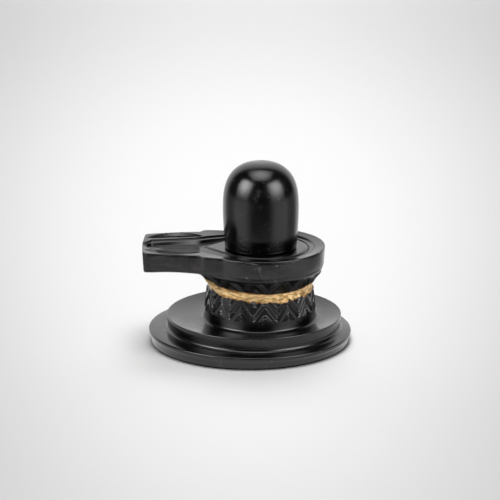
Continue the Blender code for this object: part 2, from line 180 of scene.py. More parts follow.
LEAF_BRIM = 1.08
LEAF_WALL = 0.26

# Unpolished bed of the channel
BED_SINK = 0.0002
BED_FADE = 0.0006
BED_START = 0.0185
BED_START_FADE = 0.0020
BED_LOWEST = 0.0040
BED_MARGIN = 0.0020
BED_SCALE = 700.0
BED_DARK = (0.004, 0.004, 0.004)
BED_PALE = (0.022, 0.022, 0.023)
BED_ROUGHNESS = 0.62
BED_LUMP = 3.0

# Shaft
SEAT_GAP = 0.0003
LINGAM_OFFSET = 0.0048
LINGAM_RADIUS = 0.01675
LINGAM_FOOT_RADIUS = 0.0159
LINGAM_HEIGHT = 0.0382
LINGAM_DOME = 0.0203
LINGAM_EDGE = 0.0004
DOME_SIDE_POWER = 0.786
DOME_TOP_POWER = 0.762

# Black stone
STONE_COLOR = (0.0014, 0.0014, 0.0015)
STONE_ROUGHNESS = 0.20
SHAFT_COLOR = (0.0003, 0.0003, 0.0003)
SHAFT_ROUGHNESS = 0.17
PALE_TIMES = 2.2
CLOUD_SCALE = 160.0
GRAIN_SCALE = 1400.0
SPECK_SCALE = 420.0
SPECK_SIZE = 0.10
SPECK_PICK = 0.93
SPECK_SHARE = 0.22
SPECK_COLOR = (0.45, 0.45, 0.44)
BUMP_STRENGTH = 0.12
BUMP_DISTANCE = 0.0002

# Smear of orange paint at the shaft's foot
SMEAR_AT = (-0.0102, -0.0053, 0.0432)
SMEAR_INNER = 0.0005
SMEAR_OUTER = 0.0012
SMEAR_COLOR = (0.42, 0.13, 0.03)
SMEAR_SCALE = 1800.0

# Mesh density
STAND_COLUMNS = 476
FIELD_ROWS = 112
SHAFT_COLUMNS = 192
ARC_STEPS = 110
SIDE_STEPS = 110
END_STEPS = 32
CROWN_ROW = 10
WALL_ROWS = 16
COVE_STEPS = 12
FILLET_STEPS = 10
CURVE_STEPS = 24
SHAFT_ROWS = 32
DOME_ROWS = 64
JOIN_DISTANCE = 1e-6

# Camera, floor and lights
CAMERA_PLACE = (0.00005, -1.0223, 0.3329)
CAMERA_TILT = math.radians(90.0 - 15.93)
CAMERA_LENS = 173.08
CAMERA_SENSOR = 36.0
CAMERA_REACH = 20.0
STUDIO_HALF = 3
# Height of the glowing sheet that paints the object's reflections of the ground
REFLECTION_CARD_LIFT = 0.0006
# Floor colour laid out by where each point lies in the view: a painted vignette and painted
# light
FLOOR_FAN = 1.0223
FLOOR_RISE = 0.3329
FLOOR_MIDDLE = 0.2854
FLOOR_WIDE = 0.1
FLOOR_DEEP = 0.108
FLOOR_TONE = 0.628
FLOOR_PAINTED_LIGHT_BOW = 0.095
FLOOR_PAINTED_LIGHT_FAR = 0.16
FLOOR_PAINTED_LIGHT_FAR_POWER = 8.0
FLOOR_ROUGHNESS = 0.9
LIGHT_TARGET = (0.005, 0.0, 0.06)
LIGHT_GAIN = 4.0
HOT_INNER = 0.06
HOT_OUTER = 0.66
HOT_REST = 0.12
TOP_PLACE = (0.0, -0.06, 0.86)
REFLECTION_SIDE_DIM = 0.65

# Heights that follow from the sizes
TIER_TOP = DISC_HEIGHT + TIER_HEIGHT
DRUM_BASE = TIER_TOP - TIER_TOP_DIP
DRUM_TOP = TIER_TOP + DRUM_HEIGHT
WAIST = TIER_TOP + WAIST_LEVEL
DISH_TOP = DRUM_TOP + DISH_THICKNESS
RING_TOP = DISH_TOP - RIM_FALL - RING_STEP
ISLAND_TOP = RING_TOP + ISLAND_CROWN


def mix(a, b, share):
    return a + (b - a) * share


def smooth(share):
    share = np.clip(share, 0.0, 1.0)
    return share * share * (3.0 - 2.0 * share)


# Meshes


def grid_faces(rows, columns, closed, start=0):
    """Quads of a grid of points, stored row after row."""
    faces = []
    last = columns if closed else columns - 1
    for r in range(rows - 1):
        low = start + r * columns
        high = low + columns
        for c in range(last):
            d = (c + 1) % columns
            faces.append((low + c, low + d, high + d, high + c))
    return faces


def make_piece(name, points, faces, node, material):
    mesh = bpy.data.meshes.new(name)
    mesh.from_pydata(points.tolist(), [], faces)
    mesh.validate()
    mesh.shade_smooth()
    mesh.materials.append(material)
    item = bpy.data.objects.new(name, mesh)
    bpy.context.collection.objects.link(item)
    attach(item, "root")
    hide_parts(node)
    return item


def rounded(corners, steps=5):
    """Profile through the corners, each one eased over its own distance."""
    profile = []
    for i, corner in enumerate(corners):
        point = np.array(corner[:4], float)
        ease = corner[4]
        if ease == 0.0 or i in (0, len(corners) - 1):
            profile.append(point)
            continue
        before = np.array(corners[i - 1][:4], float)
        after = np.array(corners[i + 1][:4], float)
        back = min(0.45, ease / np.linalg.norm((before - point)[:2]))
        ahead = min(0.45, ease / np.linalg.norm((after - point)[:2]))
        start = mix(point, before, back)
        stop = mix(point, after, ahead)
        for k in range(steps + 1):
            t = k / steps
            profile.append((1 - t) ** 2 * start + 2 * t * (1 - t) * point + t * t * stop)
    return profile


def drum_radius(height):
    """Radius of the drum without its carving."""
    spread = DRUM_FOOT_RADIUS - DRUM_WAIST_RADIUS
    share = np.clip((WAIST - height) / (WAIST - DRUM_BASE), 0.0, 1.0)
    lower = DRUM_WAIST_RADIUS + spread * share
    flare = DRUM_HEAD_RADIUS - DRUM_WAIST_RADIUS
    start = WAIST + WAIST_BAND / 2
    rise = np.clip((height - start) / (DRUM_TOP - DRUM_LAP - start), 0.0, 1.0)
    upper = DRUM_WAIST_RADIUS + flare * mix(rise, smooth(rise), FLARE_EASE)
    return np.where(height < WAIST, lower, upper)


def bar(offset, centre, width, height):
    """A rounded ridge, or a groove where the height is negative."""
    away = np.clip(np.abs(offset - centre) / width, 0.0, 1.0)
    return height * (1.0 - away * away) ** 2


def carving(offset):
    """Relief across the chevrons, by the offset from the main ridge's crest."""
    w = RIDGE_WIDTH
    caret = -CARET_DROP
    relief = bar(offset, 0.0, 0.75 * w, RIDGE_HEIGHT)
    relief += bar(offset, -1.75 * w, 0.75 * w, RIDGE_HEIGHT)
    relief += bar(offset, -0.88 * w, 0.5 * w, -0.6 * GROOVE_DEPTH)
    relief += bar(offset, -3.0 * w, 0.9 * w, -GROOVE_DEPTH)
    relief += bar(offset, 1.3 * w, 0.9 * w, -GROOVE_DEPTH)
    relief += bar(offset, 2.5 * w, 0.6 * w, 0.5 * RIDGE_HEIGHT)
    relief += bar(offset, NEST_RISE - 0.2 * w, 0.7 * w, -GROOVE_DEPTH)
    relief += bar(offset, NEST_RISE + 1.1 * w, 0.7 * w, RIDGE_HEIGHT)
    relief += bar(offset, NEST_RISE + 2.5 * w, 0.7 * w, -0.6 * GROOVE_DEPTH)
    relief += bar(offset, caret, 0.8 * w, RIDGE_HEIGHT)
    relief += bar(offset, caret - 1.1 * w, 0.6 * w, -0.7 * GROOVE_DEPTH)
    relief += bar(offset, caret - 2.1 * w, 0.8 * w, RIDGE_HEIGHT)
    return relief


def field_relief(angle, height):
    """Height of the carving over the drum's plain surface."""
    pitch = 360.0 / CHEVRONS
    half_band = WAIST_BAND / 2
    low = DRUM_BASE + DRUM_ROUND + FIELD_FOOT
    high = DRUM_TOP - FIELD_HEAD

    def crest(turn):
        place = np.mod((angle - turn) / pitch, 1.0)
        zigzag = 1.0 - np.abs(2.0 * place - 1.0)
        blunt = zigzag - CHEVRON_BLUNT * np.exp(-((1.0 - zigzag) / BLUNT_WIDTH) ** 2)
        blunt += CHEVRON_BLUNT * np.exp(-(zigzag / BLUNT_WIDTH) ** 2)
        return WAIST - half_band - CHEVRON_HEAD - CHEVRON_RISE * blunt

    lower = carving(height - crest(CHEVRON_TURN))
    upper = carving(2 * WAIST - height - crest(CHEVRON_TURN + CHEVRON_UPPER_TURN))
    in_lower = smooth((height - low) / FIELD_EDGE)
    in_lower = in_lower * smooth((WAIST - half_band - height) / FIELD_EDGE)
    in_upper = smooth((high - height) / FIELD_EDGE)
    in_upper = in_upper * smooth((height - WAIST - half_band) / FIELD_EDGE)
    return lower * in_lower + UPPER_RELIEF * upper * in_upper


def stand_profile():
    """Control points (centre, radius, height, lean, ease) up to the drum."""
    lean = math.tan(DISC_TOP_LEAN)
    low = DISC_FOOT_RADIUS
    corners = [
        (0.0, low - FOOT_INSET, 0.0, 0.0, 0.0),
        (0.0, low, 0.0, 0.0, FOOT_EASE),
        (0.0, low + FOOT_SPREAD, FOOT_RISE, 0.2 * lean, LIP_EASE),
        (0.0, DISC_RADIUS - FOOT_INSET, FLANK_TOP, 0.7 * lean, FLANK_EASE),
        (0.0, DISC_RADIUS, LIP_FOOT, lean, LIP_EASE),
        (0.0, DISC_RADIUS, DISC_HEIGHT, lean, LIP_EASE),
    ]
    waist = TIER_RADIUS - TIER_SCOTIA
    ground = DISC_HEIGHT + DISC_CROWN
    for step in range(COVE_STEPS + 1):
        angle = math.pi / 2 * step / COVE_STEPS
        radius = waist + TIER_COVE * (1.0 - math.sin(angle))
        height = ground + TIER_COVE * (1.0 - math.cos(angle))
        corners.append((TIER_OFFSET, radius, height, lean * (1.0 - step / COVE_STEPS), 0.0))
    corners.append((TIER_OFFSET, TIER_RADIUS, TIER_TOP, 0.0, TIER_EASE))
    fillet = DRUM_FOOT_RADIUS + DRUM_FILLET
    for share in (0.1, 0.3, 0.5, 0.7, 0.9):
        height = mix(TIER_TOP, DRUM_BASE, math.sin(math.pi / 2 * share))
        centre = mix(TIER_OFFSET, DRUM_OFFSET, share)
        corners.append((centre, mix(TIER_RADIUS, fillet, share), height, 0.0, DIP_EASE))
    for step in range(FILLET_STEPS + 1):
        angle = math.pi / 2 * step / FILLET_STEPS
        radius = fillet - DRUM_FILLET * math.sin(angle)
        height = DRUM_BASE + DRUM_FILLET * (1.0 - math.cos(angle))
        corners.append((DRUM_OFFSET, radius, height, 0.0, 0.0))
    field_foot = DRUM_BASE + DRUM_ROUND
    corners.append((DRUM_OFFSET, float(drum_radius(field_foot)), field_foot, 0.0, 0.0))
    return rounded(corners)


def build_stand(material):
    columns = STAND_COLUMNS
    angle = 360.0 * np.arange(columns) / columns
    turn = np.radians(angle - 90.0)
    rows = []
    for centre, radius, height, lean in stand_profile():
        x = centre + radius * np.cos(turn)
        rows.append(np.stack([x, radius * np.sin(turn), height - lean * x], axis=1))
    start = DRUM_BASE + DRUM_ROUND
    for height in np.linspace(start, DRUM_TOP + DRUM_LAP, FIELD_ROWS + 1)[1:]:
        radius = drum_radius(height) + field_relief(angle, height)
        x = DRUM_OFFSET + radius * np.cos(turn)
        rows.append(np.stack([x, radius * np.sin(turn), np.full(columns, height)], axis=1))
    points = np.concatenate(rows)
    faces = grid_faces(len(rows), columns, True)
    faces.append(tuple(reversed(range(columns))))
    faces.append(tuple(range(len(points) - columns, len(points))))
    item = make_piece("yoni_base_stand", points, faces, "yoni_base", material)
    gold_paint(item)
    return item


def sample(points, count):
    """Evenly spaced points along a smooth curve through the given ones."""
    points = np.array(points, float)
    last = len(points) - 1
    dense = []
    for i in range(last):
        before = points[max(i - 1, 0)]
        start = points[i]
        stop = points[i + 1]
        after = points[min(i + 2, last)]
        for k in range(CURVE_STEPS):
            t = k / CURVE_STEPS
            h00 = 2 * t**3 - 3 * t**2 + 1
            h10 = t**3 - 2 * t**2 + t
            h01 = 3 * t**2 - 2 * t**3
            h11 = t**3 - t**2
            point = h00 * start + h10 * (stop - before) / 2
            dense.append(point + h01 * stop + h11 * (after - start) / 2)
    dense.append(points[-1])
    dense = np.array(dense)
    runs = np.concatenate([[0.0], np.cumsum(np.linalg.norm(np.diff(dense, axis=0), axis=1))])
    targets = np.linspace(0.0, runs[-1], count + 1)
    return np.stack([np.interp(targets, runs, dense[:, k]) for k in range(2)], axis=1)


def loop_line(radius, leave, side, end):
    """Half an outline: an arc from +X, a side along the spout and its end."""
    turn = leave * np.arange(ARC_STEPS + 1) / ARC_STEPS
    arc = np.stack([radius * np.cos(turn), radius * np.sin(turn)], axis=1)
    along = sample([arc[-1]] + side, SIDE_STEPS)
    tip = sample([along[-1]] + end, END_STEPS)
    return np.concatenate([arc, along[1:], tip[1:]])


def spout_side(neck, mid, end):
    """Half width of a line along the spout, from its neck to its end."""
    start = SHOULDER_AT + SHOULDER_LENGTH
    stop = SPOUT_REACH - 2 * SPOUT_CORNER
    return [
        (-start, neck),
        (-mix(start, stop, 0.35), mix(neck, mid, 0.7)),
        (-mix(start, stop, 0.7), mix(mid, end, 0.4)),
        (-stop, end),
    ]


def outer_line():
    """Half the outline of the dish with its shoulder and spout."""
    curve = SHOULDER_ROUND
    leave = math.pi - math.acos((SHOULDER_AT - 2 * curve) / DISH_RADIUS)
    shoulder_end = SHOULDER_AT + SHOULDER_LENGTH
    neck = shoulder_end + 0.4 * curve
    stop = SPOUT_REACH - SPOUT_CORNER
    bow = mix(SPOUT_NECK, SPOUT_END, 0.3)
    side = [
        (-SHOULDER_AT, SHOULDER_HALF_WIDTH),
        (-shoulder_end + curve, SHOULDER_HALF_WIDTH - 0.2 * curve),
        (-shoulder_end, SHOULDER_HALF_WIDTH - 0.8 * curve),
        (-neck, SPOUT_NECK + 0.15 * curve),
        (-neck - 1.3 * curve, SPOUT_NECK - 0.05 * curve),
        (-mix(neck, stop, 0.5), bow),
        (-stop, SPOUT_END + 0.5 * SPOUT_CORNER),
    ]
    end = [
        (-stop - 0.65 * SPOUT_CORNER, SPOUT_END - 0.3 * SPOUT_CORNER),
        (-SPOUT_REACH + 0.2 * SPOUT_CORNER, SPOUT_END - 2 * SPOUT_CORNER),
        (-SPOUT_REACH, CHANNEL_MOUTH * 1.3),
        (-SPOUT_REACH, CHANNEL_MOUTH * 0.8),
        (-SPOUT_REACH, 0.0),
    ]
    return loop_line(DISH_RADIUS, leave, side, end)


def inner_line(radius, side, mouth_inset, mouth):
    """Half of a line inside the rim, run out into the channel's mouth."""
    reach = SPOUT_REACH - mouth_inset
    last = side[-1]
    end = [
        (mix(last[0], -reach, 0.6), mix(last[1], mouth, 0.6)),
        (-reach + 0.2 * CHANNEL_MOUTH, mouth * 1.15),
        (-reach, mouth),
        (-reach, mouth * 0.6),
        (-reach, 0.0),
    ]
    return loop_line(radius, RING_TURN, side, end)


def inset(line, distance):
    """The outline moved inwards, with its two ends kept on the middle."""
    ahead = np.roll(line, -1, axis=0)
    back = np.roll(line, 1, axis=0)
    slope = ahead - back
    slope[0] = (0.0, 1.0)
    slope[-1] = (0.0, -1.0)
    size = np.linalg.norm(slope, axis=1)
    x = line[:, 0] - distance * slope[:, 1] / size
    y = np.maximum(0.0, line[:, 1] + distance * slope[:, 0] / size)
    return np.stack([x, y], axis=1)


def along_spout(x):
    """0 on the round of the dish and 1 along the spout."""
    return smooth((-x - SPOUT_BLEND_AT) / SPOUT_BLEND_LENGTH)


def at_mouth(x, y):
    """1 in the notch where the channel runs out and 0 away from it."""
    near_end = smooth((-x - SPOUT_REACH + MOUTH_LENGTH) / (0.75 * MOUTH_LENGTH))
    return near_end * smooth((CHANNEL_MOUTH * 1.3 - y) / (CHANNEL_MOUTH * 0.5))


def raise_line(line, round_level, spout_level, mouth_level):
    level = mix(round_level, spout_level, along_spout(line[:, 0]))
    level = mix(level, mouth_level, at_mouth(line[:, 0], line[:, 1]))
    return np.column_stack([line, level])


def underside_level(x):
    """Level of the underside, arched a little along the spout."""
    start = SHOULDER_AT + SHOULDER_LENGTH
    share = np.clip((-x - start) / (SPOUT_REACH - start), 0.0, 1.0)
    arch = SPOUT_ARCH * np.sin(math.pi * np.minimum(1.0, share * 1.25))
    drop = 0.5 * SPOUT_ARCH * smooth((share - 0.7) / 0.3)
    return DRUM_TOP + arch - drop


def between(a, b, shares):
    return [mix(a, b, share) for share in shares]


def dish_lines(ridge, channel):
    """Half outlines of the dish, from its underside over the rim to the seat."""
    outer = outer_line()
    mouth_level = DISH_TOP - MOUTH_DEPTH
    spout_top = DISH_TOP + SPOUT_LIFT
    level = underside_level(outer[:, 0])
    lines = []
    for inward, rise in ((1.5, 0.0), (0.75, 0.125), (0.125, 0.5), (0.0, 1.25)):
        edge = inset(outer, DISH_TAPER + inward * DISH_LIP)
        lines.append(np.column_stack([edge, level + rise * DISH_LIP]))
    low = lines[-1]
    drop = 4 * DISH_LIP
    side = inset(outer, DISH_LIP / 4)
    high = raise_line(side, DISH_TOP - drop, spout_top - drop, mouth_level - drop / 2)
    lines += between(low, high, (0.33, 0.66))
    lines.append(high)
    for inward, fall in ((0.0, 1.0), (0.15, 0.5), (0.5, 0.125), (1.0, 0.0)):
        edge = inset(outer, inward * DISH_LIP)
        fall = fall * DISH_LIP
        lines.append(raise_line(edge, DISH_TOP - fall, spout_top - fall, mouth_level - fall))
    crown = lines[-1]

    rim_radius = DISH_RADIUS - RIM_WIDTH
    rim_side = spout_side(*ridge)
    rim = inner_line(rim_radius, rim_side, DISH_LIP, CHANNEL_MOUTH * 1.25)
    rim = raise_line(rim, DISH_TOP - RIM_FALL, spout_top - SPOUT_DIP, mouth_level)
    lines += between(crown, rim, np.linspace(0.06, 0.94, WALL_ROWS))
    lines.append(rim)

    step_radius = rim_radius - STEP_RUN
    step_side = [(x, y - STEP_RUN) for x, y in rim_side]
    step = inner_line(step_radius, step_side, 2 * DISH_LIP, CHANNEL_MOUTH * 1.15)
    step = raise_line(step, RING_TOP, spout_top - SPOUT_DIP - RING_STEP, mouth_level)
    lines += between(rim, step, (0.15, 0.85))
    lines.append(step)

    ring_radius = rim_radius - RING_WIDTH
    ring_side = spout_side(*channel)
    crest = inner_line(ring_radius, ring_side, 3 * DISH_LIP, CHANNEL_MOUTH)
    crest = raise_line(crest, RING_TOP, spout_top - SPOUT_DIP - RING_STEP, mouth_level)
    lines += between(step, crest, (0.1, 0.3, 0.5, 0.7, 0.9))
    lines.append(crest)

    bed_radius = ring_radius - GROOVE_RUN
    bed_side = [(x, BED_SHARE * y) for x, y in ring_side]
    bed = inner_line(bed_radius, bed_side, 4 * DISH_LIP, CHANNEL_MOUTH * 0.5)
    bed_level = RING_TOP - ISLAND_GROOVE
    channel_level = spout_top - SPOUT_DIP - RING_STEP - CHANNEL_DEPTH
    bed = raise_line(bed, bed_level, channel_level + DISH_LIP, mouth_level)
    lines += between(crest, bed, (0.1, 0.3, 0.5, 0.7, 0.9))
    lines.append(bed)

    island = island_line(bed, channel_level, mouth_level)
    lines += between(bed, island, (0.15, 0.4, 0.65, 0.9))
    lines.append(island)
    return lines


def island_line(bed, channel_level, mouth_level):
    """Edge of the raised floor round the shaft, then the middle of the channel."""
    edge_radius = DISH_RADIUS - RIM_WIDTH - RING_WIDTH - 2 * GROOVE_RUN
    turn = ISLAND_TURN * np.arange(ARC_STEPS + 1) / ARC_STEPS
    radius = edge_radius - ISLAND_SQUEEZE * smooth(turn / ISLAND_TURN)
    level = np.full(len(turn), RING_TOP)
    line = np.stack([radius * np.cos(turn), radius * np.sin(turn), level], axis=1)
    corner = line[-1]
    side = bed[ARC_STEPS + 1:]
    tip = int(np.argmin(np.abs(side[:, 0] + ISLAND_POINT)))
    rest = []
    for k, x in enumerate(side[:, 0]):
        if k <= tip:
            share = (k + 1) / (tip + 1)
            across = mix(corner[1], 0.0, share)
            rest.append((mix(corner[0], -ISLAND_POINT, share), across, RING_TOP))
        else:
            share = smooth((-x - ISLAND_POINT) / ISLAND_FALL)
            height = mix(RING_TOP, channel_level, share)
            fall = smooth((-x - SPOUT_REACH + 3 * MOUTH_LENGTH) / (2.5 * MOUTH_LENGTH))
            reach = max(x, -SPOUT_REACH + 5 * DISH_LIP)
            rest.append((reach, 0.0, mix(height, mouth_level, fall)))
    return np.concatenate([line, np.array(rest)])


def leaf_hollow(x, y):
    """Depth of the leaf-shaped hollow in the wall of the spout."""
    start = LEAF_CENTRE - LEAF_LENGTH / 2
    share = np.clip((-x - start) / LEAF_LENGTH, 0.0, 1.0)
    swell = np.sin(math.pi * share) ** LEAF_SWELL
    middle = mix(LEAF_AT_NECK, LEAF_AT_END, share) + LEAF_BOW * np.sin(math.pi * share)
    across = np.abs(y - middle) / (LEAF_WIDTH / 2 * np.maximum(swell, LEAF_TIP))
    return LEAF_DEPTH * swell**LEAF_SINK * smooth((LEAF_BRIM - across) / LEAF_WALL)


def build_dish(material):
    seat_radius = LINGAM_FOOT_RADIUS - SEAT_INSET
    sides = ((1.0, RIDGE_FAR, CHANNEL_FAR), (-1.0, RIDGE_NEAR, CHANNEL_NEAR))
    points = []
    faces = []
    start = 0
    for side, ridge, channel in sides:
        lines = dish_lines(ridge, channel)
        count = len(lines[0])
        island = lines[-1]
        keep = island[:, 0] >= -ISLAND_POINT - JOIN_DISTANCE
        keep[ARC_STEPS + SIDE_STEPS + 1:] = False
        edge = island[keep]
        turn = math.pi * np.arange(len(edge)) / (len(edge) - 1)
        level = np.full(len(edge), ISLAND_TOP)
        across = np.abs(seat_radius * np.sin(turn))
        seat = np.stack([seat_radius * np.cos(turn), across, level], axis=1)
        for k, line in enumerate(lines):
            placed = line.copy()
            if CROWN_ROW < k <= CROWN_ROW + WALL_ROWS:
                placed[:, 2] -= leaf_hollow(placed[:, 0], placed[:, 1])
            points.append(placed * (1.0, side, 1.0))
        faces += grid_faces(len(lines), count, False, start)
        start += len(lines) * count
        floor = [mix(edge, seat, share) for share in (0.0, 0.06, 0.2, 0.4, 0.6, 0.8, 1.0)]
        for k, share in enumerate((0.0, 0.7, 1.0, 1.0, 1.0, 1.0, 1.0)):
            floor[k][:, 2] = mix(RING_TOP, ISLAND_TOP, share)
        for row in floor:
            points.append(row * (1.0, side, 1.0))
        faces += grid_faces(len(floor), len(edge), False, start)
        start += len(floor) * len(edge)
        points.append(lines[0] * (1.0, 0.0, 1.0))
        points.append(lines[0] * (1.0, side, 1.0))
        faces += grid_faces(2, count, False, start)
        start += 2 * count
    points = np.concatenate(points)
    points[:, 0] += DISH_OFFSET
    item = make_piece("yoni_base_dish", points, faces, "yoni_base", material)
    tidy_mesh(item.data)
    matte_bed(item)
    return item


def corners_of(item):
    corners = np.empty(len(item.data.vertices) * 3)
    item.data.vertices.foreach_get("co", corners)
    return corners.reshape(-1, 3)


def matte_bed(item):
    """Stores how deep each corner lies in the unpolished bed of the channel."""
    corners = corners_of(item)
    sunk = smooth((RING_TOP - BED_SINK - corners[:, 2]) / BED_FADE)
    inside = smooth((-corners[:, 0] - BED_START) / BED_START_FADE)
    above = corners[:, 2] > DISH_TOP - BED_LOWEST
    between_walls = np.abs(corners[:, 1]) < SPOUT_END - BED_MARGIN
    layer = item.data.attributes.new("bed", "FLOAT", "POINT")
    layer.data.foreach_set("value", sunk * inside * above * between_walls)


def tidy_mesh(mesh):
    """Joins equal corners and turns all faces outwards."""
    shell = bmesh.new()
    shell.from_mesh(mesh)
    bmesh.ops.remove_doubles(shell, verts=shell.verts, dist=JOIN_DISTANCE)
    bmesh.ops.recalc_face_normals(shell, faces=shell.faces)
    shell.to_mesh(mesh)
    shell.free()
    mesh.shade_smooth()


def build_shaft(material):
    """Shaft that swells upwards a little and ends in a blunt dome."""
    foot = ISLAND_TOP + SEAT_GAP
    top = foot + LINGAM_HEIGHT
    spring = top - LINGAM_DOME
    profile = [(0.0, foot)]
    for inward, rise in ((2.0, 0.0), (1.0, 0.125), (0.25, 0.5)):
        profile.append((LINGAM_FOOT_RADIUS - inward * LINGAM_EDGE, foot + rise * LINGAM_EDGE))
    for step in range(SHAFT_ROWS + 1):
        share = step / SHAFT_ROWS
        radius = mix(LINGAM_FOOT_RADIUS, LINGAM_RADIUS, math.sin(math.pi / 2 * share))
        profile.append((radius, mix(foot + 1.25 * LINGAM_EDGE, spring, share)))
    for step in range(1, DOME_ROWS + 1):
        angle = math.pi / 2 * step / DOME_ROWS
        radius = LINGAM_RADIUS * max(math.cos(angle), 0.0) ** DOME_SIDE_POWER
        profile.append((radius, spring + LINGAM_DOME * math.sin(angle) ** DOME_TOP_POWER))
    turn = math.tau * np.arange(SHAFT_COLUMNS) / SHAFT_COLUMNS
    rows = []
    for radius, height in profile:
        x = LINGAM_OFFSET + radius * np.cos(turn)
        rows.append(np.stack([x, radius * np.sin(turn), np.full(SHAFT_COLUMNS, height)], axis=1))
    points = np.concatenate(rows)
    faces = grid_faces(len(rows), SHAFT_COLUMNS, True)
    item = make_piece("lingam_shaft", points, faces, "lingam", material)
    tidy_mesh(item.data)
    return item


# Materials


def math_node(tree, operation, a, b=None):
    item = tree.nodes.new("ShaderNodeMath")
    item.operation = operation
    for socket, value in zip(item.inputs, (a, b)):
        if value is None:
            continue
        if isinstance(value, (int, float)):
            socket.default_value = value
        else:
            tree.links.new(value, socket)
    return item.outputs[0]


def plus(tree, a, b):
    return math_node(tree, "ADD", a, b)


def times(tree, a, b):
    return math_node(tree, "MULTIPLY", a, b)


def ramp(tree, value, low, high, start=0.0, stop=1.0):
    item = tree.nodes.new("ShaderNodeMapRange")
    item.interpolation_type = "SMOOTHSTEP"
    item.inputs["From Min"].default_value = low
    item.inputs["From Max"].default_value = high
    item.inputs["To Min"].default_value = start
    item.inputs["To Max"].default_value = stop
    tree.links.new(value, item.inputs["Value"])
    return item.outputs["Result"]


def noise(tree, vector, scale, detail=2.0, roughness=0.5):
    item = tree.nodes.new("ShaderNodeTexNoise")
    item.inputs["Scale"].default_value = scale
    item.inputs["Detail"].default_value = detail
    item.inputs["Roughness"].default_value = roughness
    tree.links.new(vector, item.inputs["Vector"])
    return item.outputs["Fac"]


def blend(tree, share, a, b):
    item = tree.nodes.new("ShaderNodeMix")
    item.data_type = "RGBA"
    tree.links.new(share, item.inputs["Factor"])
    for socket, value in ((item.inputs["A"], a), (item.inputs["B"], b)):
        if isinstance(value, tuple):
            socket.default_value = (*value, 1.0)
        else:
            tree.links.new(value, socket)
    return item.outputs["Result"]


def dust(tree, vector, scale, size):
    """Sparse pale specks, 1 inside a speck."""
    item = tree.nodes.new("ShaderNodeTexVoronoi")
    item.inputs["Scale"].default_value = scale
    tree.links.new(vector, item.inputs["Vector"])
    pick = tree.nodes.new("ShaderNodeSeparateColor")
    tree.links.new(item.outputs["Color"], pick.inputs["Color"])
    chosen = math_node(tree, "GREATER_THAN", pick.outputs["Red"], SPECK_PICK)
    near = math_node(tree, "LESS_THAN", item.outputs["Distance"], size)
    return math_node(tree, "MULTIPLY", chosen, near)


def smear_mask(tree, place):
    """1 on the smear at the shaft's foot, with a ragged edge."""
    away = tree.nodes.new("ShaderNodeVectorMath")
    away.operation = "DISTANCE"
    tree.links.new(place, away.inputs[0])
    away.inputs[1].default_value = SMEAR_AT
    ragged = times(tree, noise(tree, place, SMEAR_SCALE, 2.0), SMEAR_INNER)
    reach = plus(tree, away.outputs["Value"], ragged)
    return ramp(tree, reach, SMEAR_INNER, SMEAR_OUTER, 1.0, 0.0)


def black_stone(name, color, roughness, banded=False, matte=False, smeared=False):
    """Glossy black stone, with the gold band, the matte bed or the smear on it."""
    material = bpy.data.materials.new(name)
    material.use_nodes = True
    tree = material.node_tree
    shader = tree.nodes["Principled BSDF"]
    place = tree.nodes.new("ShaderNodeTexCoord").outputs["Object"]
    cloud = noise(tree, place, CLOUD_SCALE, 4.0)
    fine = noise(tree, place, GRAIN_SCALE, 3.0, 0.6)
    wear = ramp(tree, cloud, 0.35, 0.7, -0.03, 0.05)
    grain = ramp(tree, fine, 0.3, 0.7, -0.02, 0.03)
    rough = plus(tree, plus(tree, wear, grain), roughness)
    pale = tuple(min(1.0, value * PALE_TIMES) for value in color)
    base = blend(tree, ramp(tree, cloud, 0.4, 0.75), color, pale)
    speck = dust(tree, place, SPECK_SCALE, SPECK_SIZE)
    base = blend(tree, times(tree, speck, SPECK_SHARE), base, SPECK_COLOR)
    bump_height = fine
    metal = None
    if smeared:
        base = blend(tree, smear_mask(tree, place), base, SMEAR_COLOR)
    if banded:
        gold, inside = gold_mask(tree, place)
        stretch = tree.nodes.new("ShaderNodeMapping")
        stretch.inputs["Scale"].default_value = STROKE_STRETCH
        tree.links.new(place, stretch.inputs["Vector"])
        strokes = noise(tree, stretch.outputs["Vector"], STROKE_SCALE, 4.0, 0.6)
        tone = blend(tree, ramp(tree, strokes, 0.38, 0.60), GOLD_DARK, GOLD_PALE)
        edge = ramp(tree, inside, 0.0, GOLD_EDGE_WIDTH, 1.0, 0.0)
        tone = blend(tree, edge, tone, GOLD_EDGE)
        base = blend(tree, gold, base, tone)
        rough = plus(tree, rough, times(tree, gold, GOLD_ROUGHNESS))
        metal = times(tree, gold, GOLD_METAL)
        lump = times(tree, times(tree, strokes, gold), GOLD_LUMP)
        bump_height = plus(tree, fine, lump)
    if matte:
        bed = attribute(tree, "bed")
        coarse = noise(tree, place, BED_SCALE, 4.0, 0.6)
        tone = blend(tree, ramp(tree, coarse, 0.35, 0.65), BED_DARK, BED_PALE)
        base = blend(tree, bed, base, tone)
        rough = plus(tree, rough, times(tree, bed, BED_ROUGHNESS))
        lump = times(tree, times(tree, coarse, bed), BED_LUMP)
        bump_height = plus(tree, fine, lump)
    tree.links.new(base, shader.inputs["Base Color"])
    tree.links.new(rough, shader.inputs["Roughness"])
    if metal is not None:
        tree.links.new(metal, shader.inputs["Metallic"])
    bump = tree.nodes.new("ShaderNodeBump")
    bump.inputs["Strength"].default_value = BUMP_STRENGTH
    bump.inputs["Distance"].default_value = BUMP_DISTANCE
    tree.links.new(bump_height, bump.inputs["Height"])
    tree.links.new(bump.outputs["Normal"], shader.inputs["Normal"])
    return material


def attribute(tree, name):
    item = tree.nodes.new("ShaderNodeAttribute")
    item.attribute_type = "GEOMETRY"
    item.attribute_name = name
    return item.outputs["Fac"]


def paint_level(angle, levels):
    """Height of the paint's edge at an angle round the drum."""
    turns = [turn for turn, level in levels]
    heights = [level for turn, level in levels]
    return np.interp(angle, turns, heights, period=360.0)


